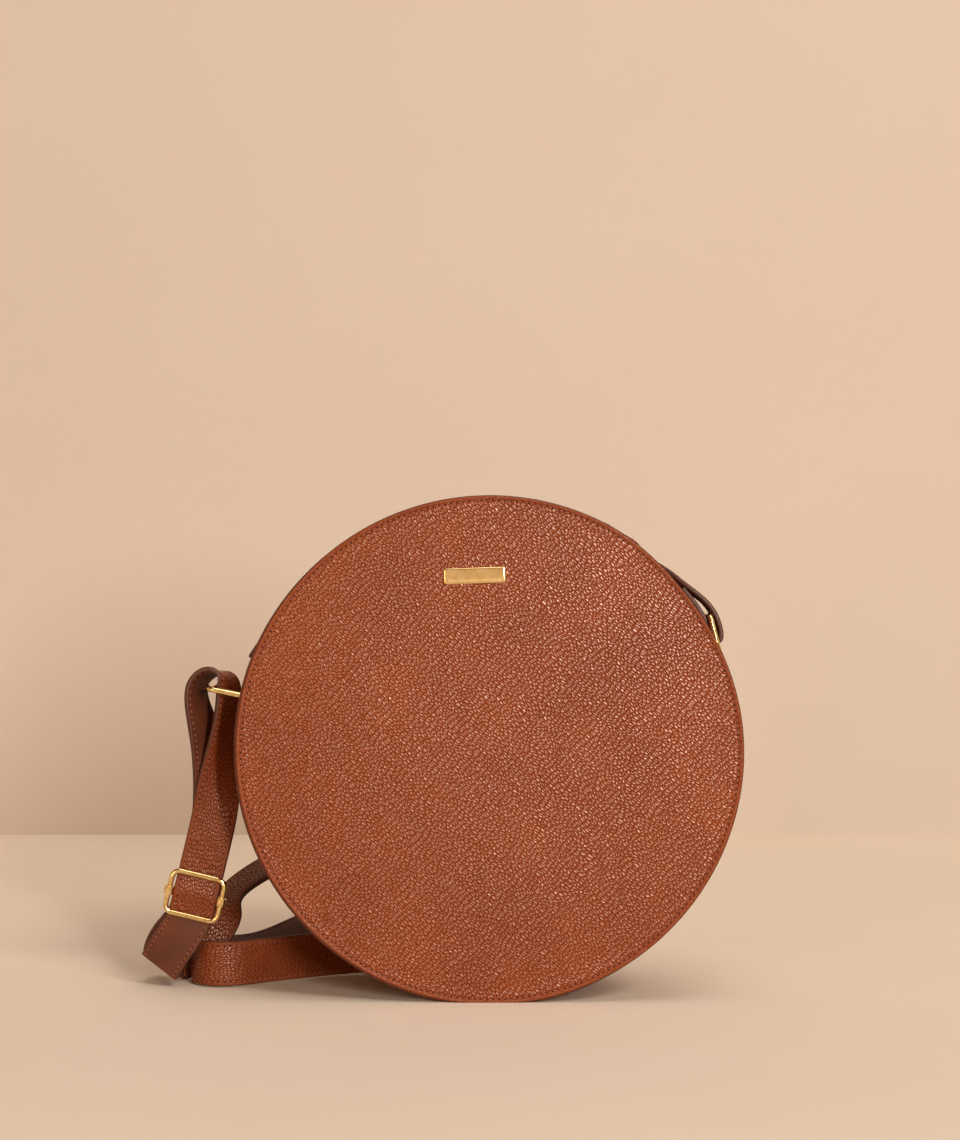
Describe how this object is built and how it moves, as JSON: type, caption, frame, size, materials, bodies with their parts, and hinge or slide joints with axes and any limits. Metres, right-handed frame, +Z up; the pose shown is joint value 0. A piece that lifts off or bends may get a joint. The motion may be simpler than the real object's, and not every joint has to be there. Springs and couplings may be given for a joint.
{
  "type": "circle bag",
  "caption": "Round drum-shaped leather cross-body bag with crowned faces, a zip along the top of its gusset, ring tabs and an adjustable shoulder strap laid beside it.",
  "frame": {"origin": "on the floor under the middle of the bag, halfway between its two rims", "axes": "+X to the right seen from the front, +Y from the front round to the rear one, +Z up"},
  "size_m": [0.2672, 0.1076, 0.219],
  "materials": {
    "cognac_leather": "pebbled, edges painted",
    "padding_foam": "open-cell foam",
    "stiffener_board": "pressed board",
    "lining_cotton": "plain weave",
    "zip_tape_weave": "woven tape",
    "polished_brass": "polished",
    "clinch_steel": "plain"
  },
  "bodies": {
    "bag": {"front_panel": "cognac_leather", "rear_panel": "cognac_leather", "gusset_band": "cognac_leather", "zip_strip_front": "cognac_leather", "zip_strip_rear": "cognac_leather", "left_tab": "cognac_leather", "right_tab": "cognac_leather", "strap_tail": "cognac_leather", "strap_loop_left": "cognac_leather", "strap_run": "cognac_leather", "strap_loop_right": "cognac_leather", "front_padding": "padding_foam", "rear_padding": "padding_foam", "front_board": "stiffener_board", "rear_board": "stiffener_board", "gusset_stiffener": "stiffener_board", "front_lining": "lining_cotton", "rear_lining": "lining_cotton", "gusset_lining": "lining_cotton", "slip_pocket": "lining_cotton", "zip_tape_front": "zip_tape_weave", "zip_tape_rear": "zip_tape_weave", "zip_teeth_front": "polished_brass", "zip_teeth_rear": "polished_brass", "zip_stops": "polished_brass", "blank_plate": "polished_brass", "plate_washers": "clinch_steel"},
    "zip_slider": {"zip_slider_body": "polished_brass"},
    "zip_pull": {"zip_pull_link": "polished_brass", "zip_pull_tab": "cognac_leather"},
    "left_ring": {"left_ring": "polished_brass"},
    "right_ring": {"right_ring": "polished_brass"},
    "adjuster": {"adjuster_frame": "polished_brass", "adjuster_bar": "polished_brass"}
  },
  "joints": [
    {"name": "zip_run", "type": "hinge", "parent": "bag", "child": "zip_slider", "pos_m": [0, 0, 0.109], "axis": [0, 1, 0], "range_deg": [0, 86], "deforming": ["zip_teeth_front", "zip_teeth_rear"]},
    {"name": "zip_pull_hinge", "type": "hinge", "parent": "zip_slider", "child": "zip_pull", "pos_m": [-0.09094, 0, 0.17034], "axis": [0, 1, 0], "range_deg": [0, 150]},
    {"name": "left_ring_hinge", "type": "hinge", "parent": "bag", "child": "left_ring", "pos_m": [-0.10696, 0, 0.13076], "axis": [0, 1, 0], "range_deg": [-45, 45], "deforming": ["strap_loop_left"]},
    {"name": "right_ring_hinge", "type": "hinge", "parent": "bag", "child": "right_ring", "pos_m": [0.10156, 0, 0.149], "axis": [0, 1, 0], "range_deg": [0, 70], "deforming": ["strap_loop_right"]},
    {"name": "adjuster_slide", "type": "slide", "parent": "bag", "child": "adjuster", "axis": [0.2334, 0, 0.9724], "range_m": [0, 0.022]}
  ]
}
